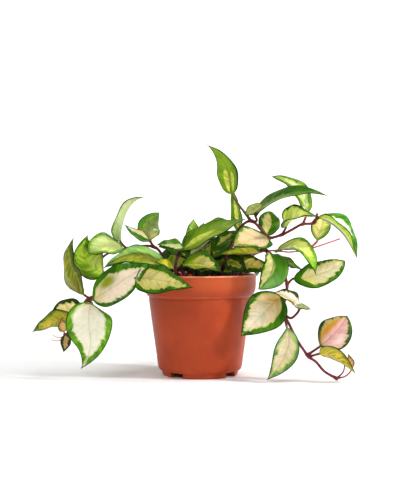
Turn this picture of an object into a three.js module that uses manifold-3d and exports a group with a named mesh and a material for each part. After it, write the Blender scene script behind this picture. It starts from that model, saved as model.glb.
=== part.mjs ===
// Potted wax plant: a plastic nursery pot filled with soil, and the leafy vines rooted in it.
// Millimetres, +Z up, origin on the middle of the pot's underside, front of the plant towards -Y.
import * as THREE from 'three';
import { mergeVertices } from 'three/addons/utils/BufferGeometryUtils.js';
import Module from 'manifold-3d';

const wasm = await Module();
wasm.setup();

// Pot
const rimRadius = 60;
const rimHeight = 106.6;
const bandHeight = 24;
const wallTopRadius = 54.4;
const wallBottomRadius = 44.6;
const footRadius = 40;
const footHeight = 5;
const wallThickness = 2;
const floorTop = 6.2;
const padRadius = 12;
const potSides = 32;
const notchCount = 4;
const notchAngle = 22;
const notchStart = 42;
const drainRadius = 3.2;
const drainCircle = 27;

// Soil
const soilTop = 97;
const soilGap = 0.45;
const soilRise = 2.5;
const stemClearance = 0.5;

// Leaves and stalks
const midThickness = 1.5;
const edgeThickness = 0.8;
const stalkRadius = 1.35;
const youngStalkRadius = 0.85;
const youngWidth = 14;
const narrowWidth = 25;
const bladeStations = [0.04, 0.13, 0.28, 0.5, 0.73, 0.9, 1];
const narrowStations = [0.05, 0.2, 0.45, 0.7, 0.9, 1];
const youngStations = [0.06, 0.3, 0.65, 1];
const waveHeight = 1.2;
const waveCount = 2.1;

const vines = [
  {
    name: 'vine_upper_left',
    colour: 0x93ad52,
    radius: 1.6,
    steps: 13,
    path: [[-20, 4, 86], [-20, 4, 102], [-34, 1, 117], [-45, 0, 133], [-52, 2, 136], [-63, 6, 136],
      [-74, 10, 134], [-88, 15, 131], [-101, 18, 127], [-108, 19, 119], [-106, 18, 108]],
    leaves: [
      { root: [-106, 18, 111], base: [-104, 15, 107], tip: [-120, 6, 148], bend: [-10, -2, -6],
        width: 39, face: [0.25, -0.85, 0.35], fold: 16, curl: 16 },
      { root: [-77, 11, 134], base: [-82, 8, 132], tip: [-117, -6, 128], bend: [-2, -2, 6],
        width: 42, face: [0, -0.54, 0.84], fold: 10, tail: 0.85 },
      { root: [-79, 12, 133], base: [-86, 14, 142], tip: [-60, 4, 188], bend: [-8, 0, 3],
        width: 27, face: [-0.92, 0.25, 0.3], fold: 24, lead: 0.6, tail: 1, sway: [-0.5, 0, 3] },
      { root: [-49, 2, 135], base: [-53, 5, 142], tip: [-44, 18, 172], bend: [-5, 0, 0],
        width: 26, face: [-0.2, 0.92, 0.3], fold: 12, lead: 0.75, tail: 0.95 },
      { root: [-49, 0, 135], base: [-54, -2, 142], tip: [-79, -10, 159], bend: [-1, 0, -4],
        width: 22, face: [0.3, -0.5, 0.8], fold: 22, wave: 0.4 },
    ],
  },
  {
    name: 'vine_trailing_left',
    colour: 0x8fa84c,
    radius: 1.7,
    steps: 16,
    path: [[-38, -16, 86], [-38, -16, 101], [-40, -36, 113], [-50, -51, 110], [-71, -50, 100],
      [-91, -46, 92], [-113, -38, 83], [-119, -35, 78], [-127, -28, 62], [-134, -24, 47],
      [-141, -26, 44]],
    leaves: [
      { root: [-113, -38, 83], base: [-119, -38, 87], tip: [-130, -28, 146], bend: [-13, -3, -3],
        width: 40, face: [0.85, 0.5, 0.1], fold: 12 },
      { root: [-113, -38, 83], base: [-109, -44, 82], tip: [-51, -58, 119], bend: [-1, -2, -1],
        width: 41, face: [-0.3, -0.85, 0.4], fold: 8, tail: 1 },
      { root: [-68, -51, 101], base: [-64, -60, 105], tip: [-7, -74, 96], bend: [0, -1, 1],
        width: 34, face: [0.1, -0.85, 0.5], fold: 8, lead: 0.45, tail: 1.25 },
      { root: [-115, -37, 81], base: [-110, -44, 78], tip: [-121, -46, 12], bend: [4, -5, 2],
        width: 47, face: [0.05, -0.97, 0.2], fold: 8, curl: -8, sway: [3, 0, 0],
        lead: 0.6, tail: 1.25 },
      { root: [-126, -28, 64], base: [-127, -15, 62], tip: [-157, -8, 66], bend: [1, 1, 6],
        width: 26, face: [0, -0.85, 0.5], fold: 10 },
      { root: [-127, -28, 63], base: [-134, -25, 65], tip: [-173, -30, 48], bend: [1, -1, 2],
        width: 25, face: [-0.1, 0.66, 0.7], fold: 10 },
      { root: [-139, -26, 44], base: [-141, -28, 48], tip: [-143, -32, 62], bend: [0, -1, 0],
        width: 10, face: [0.3, -0.9, 0], fold: 15 },
      { root: [-138, -26, 45], base: [-139, -29, 45], tip: [-141, -31, 27], bend: [1, -1, 0],
        width: 11, face: [0.3, -0.9, 0.1], fold: 15 },
    ],
    rootlets: [
      [[-139, -26, 44], [-146, -31, 42], [-152, -32, 45]],
      [[-139, -26, 43.5], [-146, -32, 39], [-154, -32, 40]],
    ],
  },
  {
    name: 'vine_low_left',
    colour: 0x7d9c43,
    radius: 1.7,
    steps: 5,
    path: [[-22, -12, 86], [-22, -12, 101], [-24, -14, 108], [-29, -18, 113]],
    leaves: [
      { root: [-28, -17.5, 112], base: [-36, -20, 114], tip: [-99, -34, 114], bend: [2, -1, 12],
        width: 42, face: [0, -0.46, 0.88], fold: 6 },
      { root: [-24, -14, 108], base: [-28, -25, 113], tip: [-46, -34, 120], bend: [0, -1, 2],
        width: 16, face: [0, -0.6, 0.8], fold: 10 },
    ],
  },
  {
    name: 'vine_center_left',
    colour: 0x6f9038,
    radius: 1.9,
    steps: 5,
    path: [[-25, -30, 86], [-25, -30, 101], [-25, -29, 118], [-22, -26, 129]],
    leaves: [
      { root: [-23, -27, 127], base: [-19, -23, 132], tip: [49, -14, 165], bend: [-5, -3, 2],
        width: 36, face: [-0.25, -0.5, 0.85], fold: 8 },
      { root: [-23, -27, 127], base: [-18, -31, 135], tip: [-44, -42, 138], bend: [0, 0, 1],
        width: 17, face: [0, -0.7, 0.7], fold: 12, lead: 0.4, tail: 1 },
    ],
  },
  {
    name: 'vine_center_low',
    colour: 0x7c9a45,
    radius: 1.6,
    steps: 4,
    path: [[-15, -33, 86], [-15, -33, 101], [-17, -35, 108], [-22, -38, 115]],
    leaves: [
      { root: [-16, -34, 105], base: [-1, -18, 120], tip: [15, -12, 144], bend: [-6, -1, -1],
        width: 26, face: [-0.85, -0.45, 0.2], fold: 30 },
      { root: [-21, -37.5, 114], base: [-17, -40, 118], tip: [22, -54, 111], bend: [0, -1, 3],
        width: 34, face: [0.1, -0.6, 0.8], fold: 22 },
    ],
  },
  {
    name: 'vine_center_back',
    colour: 0x57792f,
    radius: 1.7,
    steps: 4,
    path: [[-7, 8, 86], [-7, 8, 101], [-7, 8, 114], [-8, 8, 127]],
    leaves: [
      { root: [-8, 8, 126], base: [-6, 7, 136], tip: [-7, 1, 165], bend: [-1, -1, 0],
        width: 17, face: [0.2, -0.9, 0.3], fold: 8, lead: 0.8 },
      { root: [-8, 8, 127], base: [-2, 9, 138], tip: [4, 4, 161], bend: [1, -1, 0],
        width: 18, face: [-0.2, -0.9, 0.3], fold: 8, lead: 0.8 },
      { root: [-7.5, 8, 122], base: [2, 14, 142], tip: [31, 6, 163], bend: [-2, 0, 7],
        width: 18, face: [0, -0.5, 0.85], fold: 8 },
      { root: [-7, 8, 114], base: [4, 22, 124], tip: [36, 34, 142], bend: [0, 2, 2],
        width: 30, face: [-0.1, -0.75, 0.65], fold: 8 },
      { root: [-7, 8, 115], base: [-36, 19, 110], tip: [-6, 30, 132], bend: [-2, 2, 2],
        width: 34, face: [0, -0.85, 0.5], fold: 8, via: [[-20, 12, 111]] },
      { root: [-7.5, 8, 120], base: [-20, 0, 126], tip: [-44, -6, 135], bend: [-1, 1, 4],
        width: 18, face: [0, -0.6, 0.8], fold: 8 },
    ],
  },
  {
    name: 'vine_center_right',
    colour: 0x86953c,
    radius: 1.6,
    steps: 4,
    path: [[20, -20, 86], [20, -20, 101], [22, -20, 109], [27, -20, 117]],
    leaves: [
      { root: [21, -20, 106], base: [12, -30, 131], tip: [42, -8, 152], bend: [2, 2, 4],
        width: 18, face: [-0.2, -0.7, 0.6], fold: 12, via: [[15, -27, 118]] },
      { root: [25, -20, 115], base: [34, -26, 120], tip: [76, -36, 113], bend: [0, -2, 0],
        width: 19, face: [0, -0.8, 0.6], fold: 8 },
      { root: [23, -20, 112], base: [26, -30, 121], tip: [48, -45, 109], bend: [0, -2, 2],
        width: 20, face: [0, -0.8, 0.6], fold: 10 },
    ],
  },
  {
    name: 'vine_upper_right',
    colour: 0x8db348,
    radius: 1.7,
    steps: 17,
    path: [[22, 13, 86], [22, 13, 101], [26, 11, 118], [33, 8, 137], [41, 5, 154], [54, 0, 163],
      [68, -8, 149], [72, -10, 145], [85, -14, 148], [95, -18, 153], [106, -20, 159],
      [119, -20, 161], [122, -20, 170]],
    leaves: [
      { root: [54, 0, 163], base: [34, 0, 191], tip: [6, -10, 243], bend: [9, 3, 1],
        width: 26, face: [-0.55, -0.75, 0.2], fold: 12, sway: [1.5, 0, 1], lead: 0.75,
        tail: 1.45 },
      { root: [30, 9, 129], base: [42, 18, 150], tip: [33, 13, 200], bend: [3, 1, 0],
        width: 22, face: [-0.88, -0.5, 0], fold: 14, wave: 0.5 },
      { root: [55, -1, 162], base: [58, -5, 171], tip: [131, -34, 188], bend: [-1, -4, 12],
        width: 31, face: [0, -0.46, 0.88], fold: 8, lead: 0.5, via: [[60, -4, 163]], wave: 0.5 },
      { root: [59, -4.5, 168], base: [67, -8, 179], tip: [48, -4, 169], bend: [-1, 0, 1],
        width: 13, face: [0, -0.75, 0.6], fold: 8, lead: 0.8, tail: 0.8 },
      { root: [107, -20, 159], base: [112, -12, 171], tip: [76, 4, 210], bend: [8, 2, 7],
        width: 24, face: [0.35, -0.65, 0.65], fold: 10, tail: 1 },
      { root: [86, -14, 148], base: [90, -21, 157], tip: [121, -33, 167], bend: [-5, -2, 4],
        width: 36, face: [0, -0.55, 0.83], fold: 32, lead: 0.5, tail: 1.3 },
      { root: [118, -20, 161], base: [124, -24, 166], tip: [162, -30, 124], bend: [3, -3, 6],
        width: 34, face: [0.4, -0.35, 0.85], fold: 38 },
      { root: [72, -10, 145], base: [72, -15, 144], tip: [33, -48, 136], bend: [-1, -4, 3],
        width: 37, face: [0.1, -0.68, 0.72], fold: 8 },
      { root: [72, -10, 145], base: [72, -4, 147], tip: [77, 14, 173], bend: [-1, 1, 1],
        width: 24, face: [0.2, -0.8, 0.5], fold: 10, tail: 0.8 },
    ],
  },
  {
    name: 'vine_trailing_right',
    colour: 0x7fa046,
    radius: 1.75,
    steps: 18,
    path: [[34, -8, 86], [34, -8, 101], [37, -10, 114], [44, -14, 124], [57, -20, 130],
      [68, -26, 132], [80, -28, 120], [90, -28, 97], [87, -31, 81], [86, -36, 68], [92, -42, 55],
      [97, -46, 44], [104, -50, 33], [110, -52, 25], [117, -54, 20], [125, -57, 11],
      [138, -60, 3.6]],
    leaves: [
      { root: [67, -26, 132], base: [62, -31, 130.6], tip: [20, -38, 128.6], bend: [-1, 0, 1],
        width: 24, face: [0, 0.48, 0.88], fold: 10, wave: 0.5 },
      { root: [69, -26, 132], base: [71, -34, 129], tip: [59, -52, 93], bend: [8, -4, 2],
        width: 35, face: [0.55, -0.8, 0.25], fold: 32, curl: -14, lead: 0.8, tail: 0.9 },
      { root: [69, -26, 131], base: [76, -30, 126], tip: [107, -22, 111], bend: [1, 1, 0],
        width: 21, face: [0.25, -0.4, 0.9], fold: 8 },
      { root: [90, -28, 97], base: [97, -26, 103], tip: [151, -20, 121], bend: [0, -3, -5],
        width: 29, face: [0, -0.88, 0.48], fold: 8, lead: 0.65, tail: 0.75 },
      { root: [87, -31, 81], base: [83, -38, 86], tip: [41, -54, 46], bend: [0, -3, 0],
        width: 42, face: [0.1, -0.9, 0.4], fold: 8 },
      { root: [86, -36, 67], base: [101, -46, 73], tip: [74, -54, 90], bend: [0, -2, 2],
        width: 24.9, face: [0.3, -0.55, 0.78], fold: 28, via: [[93, -40, 63]] },
      { root: [94, -47, 78], base: [98, -48, 76.5], tip: [112, -52, 73], bend: [0, 0, 0],
        width: 8, face: [0, -0.6, 0.8], fold: 10 },
      { root: [86, -36, 67], base: [88, -48, 55], tip: [67, -66, 3.5], bend: [9, -1, 1],
        width: 25, face: [0.15, -0.9, 0.35], fold: 8, lead: 1.1 },
      { root: [109, -52, 27], base: [121, -56, 36], tip: [149, -48, 66], bend: [2, -2, -1],
        width: 34, face: [-0.1, -0.95, 0.3], fold: 8, tail: 0.9 },
      { root: [110, -52, 25], base: [120, -60, 29], tip: [155, -66, 10], bend: [-1, 0, 7],
        width: 27, face: [0.3, 0.5, 0.8], fold: 8, lead: 0.6, wave: 0.2 },
      { root: [137, -59.8, 4], base: [147, -47, 18], tip: [144, -46, 30], bend: [0, 0, 0],
        width: 7, face: [0.3, -0.9, 0.2], fold: 10, via: [[145, -52, 10]] },
      { root: [137, -59.8, 4], base: [155, -46, 13], tip: [151, -45, 27], bend: [0, 0, 0],
        width: 7, face: [-0.3, -0.9, 0.2], fold: 10, via: [[148, -53, 6]] },
    ],
  },
  {
    name: 'vine_thin_right',
    colour: 0x9db050,
    radius: 1.1,
    steps: 12,
    path: [[40, 5, 86], [40, 5, 101], [43, 2, 114], [54, -4, 125], [68, -8, 131], [84, -10, 131],
      [94, -12, 130], [116, -16, 134], [146, -18, 144]],
    leaves: [
      { root: [80, -9.5, 131], base: [80, -21, 131], tip: [118, -46, 107], bend: [5, -3, 15],
        width: 30, face: [0.4, -0.6, 0.7], fold: 12 },
      { root: [115, -16, 134], base: [123, -14, 142], tip: [133, -5, 171], bend: [-1, -1, 0],
        width: 21, face: [-0.1, -0.9, 0.3], fold: 14, lead: 0.9, tail: 1 },
    ],
  },
  {
    name: 'vine_back_left',
    colour: 0x6d9440,
    radius: 1.7,
    steps: 10,
    path: [[-16, 27, 86], [-16, 27, 101], [-18, 32, 110], [-26, 46, 118], [-36, 62, 112],
      [-44, 76, 94], [-44, 84, 68]],
    leaves: [
      { root: [-27, 48, 117.5], base: [-26, 52, 122], tip: [4, 92, 128], bend: [0, 0, 8],
        width: 34, face: [0.2, 0.1, 0.95], fold: 12 },
      { root: [-37, 64, 110], base: [-42, 64, 112], tip: [-34, 112, 118], bend: [-4, 0, 10],
        width: 32, face: [-0.2, 0, 0.95], fold: 12 },
      { root: [-43, 78, 88], base: [-36, 84, 90], tip: [-4, 92, 46], bend: [4, 6, 0],
        width: 32, face: [0.3, 0.9, 0.3], fold: 10 },
      { root: [-44, 83, 71], base: [-42, 88, 66], tip: [-30, 94, 16], bend: [0, 6, 0],
        width: 30, face: [-0.1, 0.97, 0.2], fold: 10 },
    ],
  },
  {
    name: 'vine_back_right',
    colour: 0x759c49,
    radius: 1.7,
    steps: 8,
    path: [[20, 31, 86], [20, 31, 101], [23, 38, 111], [29, 49, 116], [36, 62, 112], [40, 76, 98]],
    leaves: [
      { root: [28, 48, 115.5], base: [24, 54, 120], tip: [14, 96, 118], bend: [4, 4, 10],
        width: 32, face: [0.1, 0.2, 0.95], fold: 12 },
      { root: [36, 62, 112], base: [44, 62, 110], tip: [66, 92, 100], bend: [2, 0, 8],
        width: 34, face: [0.3, 0.1, 0.95], fold: 12 },
      { root: [40, 75, 99], base: [40, 82, 92], tip: [26, 100, 44], bend: [2, 6, 0],
        width: 36, face: [0, 0.95, 0.3], fold: 10 },
      { root: [21, 34, 105], base: [8, 34, 112], tip: [60, 22, 117], bend: [0, -2, 0],
        width: 34, face: [0, -0.88, 0.45], fold: 8 },
      { root: [20, 32, 104], base: [14, 26, 111], tip: [-18, 21, 109], bend: [0, 1, 2],
        width: 26, face: [0, -0.9, 0.4], fold: 8 },
    ],
  },
];

const radians = (degrees) => (degrees * Math.PI) / 180;
const vector = (numbers) => new THREE.Vector3(...numbers);

// A closed triangle mesh as a solid, and back
function solidOf(geometry) {
  const bare = geometry.clone();
  bare.deleteAttribute('normal');
  bare.deleteAttribute('uv');
  const merged = mergeVertices(bare, 1e-4);
  return new wasm.Manifold(new wasm.Mesh({
    numProp: 3,
    vertProperties: new Float32Array(merged.getAttribute('position').array),
    triVerts: new Uint32Array(merged.getIndex().array),
  }));
}

function geometryOf(solid) {
  const mesh = solid.getMesh();
  const points = new Float32Array(mesh.numVert * 3);
  for (let i = 0; i < mesh.numVert; i += 1) {
    for (let k = 0; k < 3; k += 1) {
      points[3 * i + k] = mesh.vertProperties[mesh.numProp * i + k];
    }
  }
  const geometry = new THREE.BufferGeometry();
  geometry.setAttribute('position', new THREE.BufferAttribute(points, 3));
  geometry.setIndex(new THREE.BufferAttribute(new Uint32Array(mesh.triVerts), 1));
  return geometry;
}

// Half width of a blade along its length, 1 at its widest
function outline(s, lead, tail) {
  const peak = lead / (lead + tail);
  return (s ** lead * (1 - s) ** tail) / (peak ** lead * (1 - peak) ** tail);
}

// Middle line of a blade
function midrib(leaf, s) {
  const point = vector(leaf.base).lerp(vector(leaf.tip), s);
  point.addScaledVector(vector(leaf.bend), 4 * s * (1 - s));
  if (leaf.sway) {
    point.addScaledVector(vector(leaf.sway), 10.4 * s * (1 - s) * (2 * s - 1));
  }
  return point;
}

// The blade's own axes at s: along the midrib, across, and up from its face
function bladeFrame(leaf, s) {
  const along = midrib(leaf, Math.min(1, s + 1e-3));
  along.sub(midrib(leaf, Math.max(0, s - 1e-3))).normalize();
  const up = vector(leaf.face);
  up.addScaledVector(along, -up.dot(along)).normalize();
  return { along, up, side: along.clone().cross(up) };
}

// A point on a blade: s runs from base to tip, t from edge to edge, lift is off the middle surface
function bladePoint(leaf, s, t, lift, phase) {
  const { up, side } = bladeFrame(leaf, s);
  const least = s < 0.5 ? 1 : 0.6;
  const half = Math.max((leaf.width / 2) * outline(s, leaf.lead ?? 0.7, leaf.tail ?? 1.2), least);
  const fold = radians(leaf.fold);
  const curl = radians(leaf.curl ?? 0.001);
  const reach = Math.abs(t);
  const turn = fold + curl * reach;
  const across = (half / curl) * (Math.sin(turn) - Math.sin(fold));
  const rise = (half / curl) * (Math.cos(fold) - Math.cos(turn));
  const beat = waveCount * s + phase + (t < 0 ? 0.5 : 0);
  const height = waveHeight * (leaf.wave ?? 1) * Math.min(1, half / 10);
  const wave = height * t * t * Math.sin(2 * Math.PI * beat);
  const point = midrib(leaf, s);
  point.addScaledVector(side, Math.sign(t) * across);
  point.addScaledVector(up, rise + wave + lift * Math.cos(turn));
  return point.addScaledVector(side, -Math.sign(t) * lift * Math.sin(turn));
}

// One ring of a leaf's skin round its blade, upper face first, then the lower face
function bladeRing(leaf, s, spans, phase) {
  const ring = [];
  for (const faceSide of [1, -1]) {
    for (let j = 0; j <= spans; j += 1) {
      const t = -1 + (2 * j) / spans;
      const thickness = midThickness + (edgeThickness - midThickness) * Math.abs(t);
      ring.push(bladePoint(leaf, s, t, (faceSide * thickness) / 2, phase));
    }
  }
  return ring;
}

// One ring of a leaf's skin round its stalk
function stalkRing(center, side, up, radius, spans) {
  const ring = [];
  for (const faceSide of [1, -1]) {
    for (let j = 0; j <= spans; j += 1) {
      const angle = Math.PI * (1 - (j + 0.5) / (spans + 1));
      const point = center.clone().addScaledVector(side, radius * Math.cos(angle));
      ring.push(point.addScaledVector(up, faceSide * radius * Math.sin(angle)));
    }
  }
  return ring;
}

// A leaf in one skin: a round stalk from the stem that widens into a fleshy blade,
// split alike on both faces
function leafGeometry(leaf, phase) {
  const narrow = leaf.width < narrowWidth;
  const young = leaf.width < youngWidth;
  const spans = narrow ? 2 : 4;
  const radius = young ? youngStalkRadius : stalkRadius;
  const knots = [leaf.root, ...(leaf.via ?? []), leaf.base].map(vector);
  const last = knots.length - 1;
  const curve = new THREE.CatmullRomCurve3([...knots, midrib(leaf, 0.12)]);
  const stalkSpans = 1 + last;
  const rings = [];
  let { up } = bladeFrame(leaf, 0.01);
  for (let k = stalkSpans; k >= 0; k -= 1) {
    const u = ((k / stalkSpans) * last) / (last + 1);
    const tangent = curve.getTangent(u);
    up = up.clone().addScaledVector(tangent, -up.dot(tangent)).normalize();
    rings.unshift(stalkRing(curve.getPoint(u), tangent.clone().cross(up), up, radius, spans));
  }
  const wider = narrow ? narrowStations : bladeStations;
  for (const s of young ? youngStations : wider) {
    rings.push(bladeRing(leaf, s, spans, phase));
  }
  const row = spans + 1;
  const ringSize = 2 * row;
  const index = [];
  for (let i = 0; i < rings.length - 1; i += 1) {
    const here = i * ringSize;
    const next = here + ringSize;
    for (let j = 0; j < spans; j += 1) {
      index.push(here + j, next + j, next + j + 1, here + j, next + j + 1, here + j + 1);
      const under = row + j;
      index.push(here + under, next + under + 1, next + under);
      index.push(here + under, here + under + 1, next + under + 1);
    }
    index.push(here, here + row, next + row, here, next + row, next);
    const edge = here + spans;
    const far = next + spans;
    index.push(edge, far, far + row, edge, far + row, edge + row);
  }
  const end = (rings.length - 1) * ringSize;
  for (let j = 0; j < spans; j += 1) {
    index.push(j, j + 1, j + 1 + row, j, j + 1 + row, j + row);
    index.push(end + j, end + j + row, end + j + 1 + row, end + j, end + j + 1 + row, end + j + 1);
  }
  const geometry = new THREE.BufferGeometry();
  const flat = rings.flat().flatMap((point) => point.toArray());
  geometry.setAttribute('position', new THREE.Float32BufferAttribute(flat, 3));
  geometry.setIndex(index);
  return geometry;
}

// A round stalk along a smooth path
function tubeGeometry(points, radius, sides, steps) {
  const ring = [];
  for (let k = 0; k < sides; k += 1) {
    const angle = (2 * Math.PI * k) / sides;
    ring.push(new THREE.Vector2(radius * Math.cos(angle), radius * Math.sin(angle)));
  }
  const extrudePath = new THREE.CatmullRomCurve3(points.map(vector));
  return new THREE.ExtrudeGeometry(new THREE.Shape(ring), { steps, extrudePath });
}

// Faces turned outwards whichever way they were listed
function outward(geometry) {
  const solid = solidOf(geometry);
  if (solid.volume() > 0) {
    return solid;
  }
  const index = geometry.getIndex().array.slice();
  for (let i = 0; i < index.length; i += 3) {
    [index[i], index[i + 1]] = [index[i + 1], index[i]];
  }
  const turned = geometry.clone();
  turned.setIndex(new THREE.BufferAttribute(index, 1));
  return solidOf(turned);
}

// The largest body of a joined solid, so no loose scrap or sealed hollow is kept
function mainBody(solid) {
  const bodies = solid.decompose();
  bodies.sort((a, b) => b.volume() - a.volume());
  return bodies[0];
}

// One vine: its stem, leaf stalks, blades and rootlets grown together
function vineSolid(vine, order) {
  let solid = outward(tubeGeometry(vine.path, vine.radius, 6, vine.steps));
  vine.leaves.forEach((leaf, number) => {
    const phase = (0.37 * (number + 3 * order)) % 1;
    solid = solid.add(outward(leafGeometry(leaf, phase)));
  });
  for (const rootlet of vine.rootlets ?? []) {
    solid = solid.add(outward(tubeGeometry(rootlet, 0.6, 4, 3)));
  }
  return mainBody(solid);
}

// Turned about the Z axis from a profile of radius and height
function latheGeometry(profile) {
  const points = profile.map(([radius, height]) => new THREE.Vector2(radius, height));
  return new THREE.LatheGeometry(points, potSides).rotateX(Math.PI / 2);
}

function potSolid() {
  const bandBottom = rimHeight - bandHeight;
  let solid = outward(latheGeometry([
    [0, 0],
    [padRadius, 0],
    [padRadius + 0.6, footHeight - 1],
    [footRadius - 4.4, footHeight - 1],
    [footRadius - 4.2, 0],
    [footRadius - 0.8, 0],
    [footRadius, 0.8],
    [footRadius + 0.6, footHeight],
    [footRadius + 1.9, footHeight + 0.2],
    [wallBottomRadius - 0.9, footHeight + 2],
    [wallBottomRadius, footHeight + 5],
    [wallTopRadius, bandBottom - 2],
    [wallTopRadius - 0.1, bandBottom],
    [wallTopRadius + 1.4, bandBottom + 1.6],
    [wallTopRadius + 3.6, bandBottom + 5],
    [rimRadius - 0.7, bandBottom + 9.6],
    [rimRadius - 0.2, rimHeight - 3],
    [rimRadius, rimHeight - 1.2],
    [rimRadius - 0.6, rimHeight],
    [rimRadius - 1.6, rimHeight - 0.1],
    [rimRadius - 2.1, rimHeight - 1.4],
    [rimRadius - 2.4, bandBottom + 8.9],
    [wallTopRadius - wallThickness, bandBottom - 2.1],
    [wallBottomRadius - 2.4, floorTop],
    [0, floorTop],
  ]));
  for (let k = 0; k < notchCount; k += 1) {
    const turn = radians(notchStart + notchAngle / 2 - 90 + (360 / notchCount) * k);
    const notch = new THREE.BoxGeometry(16, 15.6, 10);
    notch.translate(footRadius, 0, footHeight - 5);
    notch.rotateZ(turn);
    solid = solid.subtract(solidOf(notch));
    const drain = new THREE.CylinderGeometry(drainRadius, drainRadius, 20, 10);
    drain.rotateX(Math.PI / 2);
    drain.translate(drainCircle, 0, 4);
    drain.rotateZ(turn);
    solid = solid.subtract(solidOf(drain));
  }
  return mainBody(solid);
}

// Soil fills the pot, lumpy on top, with a plain hole for each stem
function soilSolid() {
  const bandBottom = rimHeight - bandHeight;
  const geometry = latheGeometry([
    [0, floorTop + soilGap],
    [wallBottomRadius - 2.4 - soilGap, floorTop + soilGap],
    [wallTopRadius - wallThickness - soilGap, bandBottom - 1.9],
    [rimRadius - 2.4 - soilGap, bandBottom + 9.1],
    [rimRadius - 2.35 - soilGap, soilTop],
    [rimRadius * 0.67, soilTop + 0.6],
    [rimRadius * 0.33, soilTop + 0.6],
    [0, soilTop + 0.6],
  ]);
  const position = geometry.getAttribute('position');
  for (let i = 0; i < position.count; i += 1) {
    const [x, y, z] = [position.getX(i), position.getY(i), position.getZ(i)];
    const reach = Math.hypot(x, y);
    if (z > soilTop + 0.3) {
      const lump = Math.sin(0.31 * x + 1.3) * Math.cos(0.27 * y) + 0.7 * Math.sin(0.17 * (x - 2 * y));
      position.setZ(i, z + soilRise * (1 - (reach / rimRadius) ** 2) * (0.6 + 0.5 * lump));
    }
  }
  let solid = outward(geometry);
  for (const vine of vines) {
    const radius = vine.radius + stemClearance;
    const bottom = new THREE.CylinderGeometry(radius + 0.6, radius + 0.6, 4, 6);
    bottom.rotateX(Math.PI / 2);
    bottom.translate(vine.path[0][0], vine.path[0][1], vine.path[0][2] + 1);
    solid = solid.subtract(outward(tubeGeometry(vine.path, radius, 6, vine.steps)));
    solid = solid.subtract(solidOf(bottom));
  }
  return mainBody(solid);
}

function part(name, solid, color, roughness) {
  const material = new THREE.MeshStandardMaterial({ color, roughness, metalness: 0 });
  const mesh = new THREE.Mesh(geometryOf(solid), material);
  mesh.name = name;
  return mesh;
}

const plant = new THREE.Group();
plant.add(part('pot', potSolid(), 0xb24a2e, 0.42));
plant.add(part('soil', soilSolid(), 0x2a1f18, 0.95));
vines.forEach((vine, order) => {
  plant.add(part(vine.name, vineSolid(vine, order), vine.colour, 0.4));
});

export default plant;
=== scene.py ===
import math
import random

import bmesh
import bpy
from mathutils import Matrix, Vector, noise


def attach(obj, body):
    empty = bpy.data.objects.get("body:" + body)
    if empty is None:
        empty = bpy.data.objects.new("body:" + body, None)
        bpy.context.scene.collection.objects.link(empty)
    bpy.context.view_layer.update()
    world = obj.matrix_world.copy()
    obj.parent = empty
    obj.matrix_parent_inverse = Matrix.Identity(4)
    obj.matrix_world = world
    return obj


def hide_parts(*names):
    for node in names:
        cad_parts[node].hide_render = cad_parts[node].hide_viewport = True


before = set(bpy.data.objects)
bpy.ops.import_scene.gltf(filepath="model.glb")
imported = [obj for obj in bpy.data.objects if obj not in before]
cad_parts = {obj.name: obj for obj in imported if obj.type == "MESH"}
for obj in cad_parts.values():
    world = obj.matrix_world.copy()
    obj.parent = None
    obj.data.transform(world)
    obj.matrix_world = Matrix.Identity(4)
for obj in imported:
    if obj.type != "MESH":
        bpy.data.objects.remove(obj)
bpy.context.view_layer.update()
mm = 0.001  # the pieces are in mm, the camera and the lamps in metres


def addObject(name, data):
    made = bpy.data.objects.new(name, data)
    bpy.context.scene.collection.objects.link(made)
    return made


def lookAt(thing, place, aim):
    thing.location = place
    thing.rotation_euler = (Vector(aim) - thing.location).to_track_quat("-Z", "Y").to_euler()


print("camera")
camera = {
    "distance": 1.054,  # from the pot's axis
    "height": 0.150,
    "aim": 0.132,  # height at the middle of the picture
    "lens": 71.5,
}
lensData = bpy.data.cameras.new("studioCamera")
lensData.lens = camera["lens"]
lensData.clip_end = 100
studioCamera = addObject("studioCamera", lensData)
lookAt(studioCamera, (0, -camera["distance"], camera["height"]), (0, 0, camera["aim"]))
bpy.context.scene.camera = studioCamera
bpy.context.scene.view_settings.view_transform = "Standard"  # plain colours


def tone(code):  # a screen colour of six hex digits, as linear light
    parts = [value / 255 for value in bytes.fromhex(code)]
    linear = [part / 12.92 if part <= 0.04045 else ((part + 0.055) / 1.055) ** 2.4 for part in parts]
    return (*linear, 1.0)


class Signal:  # a node's output; maths on it adds Math nodes
    def __init__(self, shade, socket):
        self.shade = shade
        self.socket = socket

    def maths(self, operation, *values):
        return self.shade.node("Math", {"operation": operation}, dict(enumerate(values)))

    def __add__(self, other):
        return self.maths("ADD", self, other)

    def __sub__(self, other):
        return self.maths("SUBTRACT", self, other)

    def __mul__(self, other):
        return self.maths("MULTIPLY", self, other)

    def __truediv__(self, other):
        return self.maths("DIVIDE", self, other)

    def __rsub__(self, other):
        return self.maths("SUBTRACT", other, self)

    __radd__ = __add__
    __rmul__ = __mul__

    def rise(self, low, high):  # 0 below low, 1 above high, smooth between
        limits = {"Value": self, "From Min": low, "From Max": high}
        return self.shade.node("MapRange", {"interpolation_type": "SMOOTHSTEP"}, limits)


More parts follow.
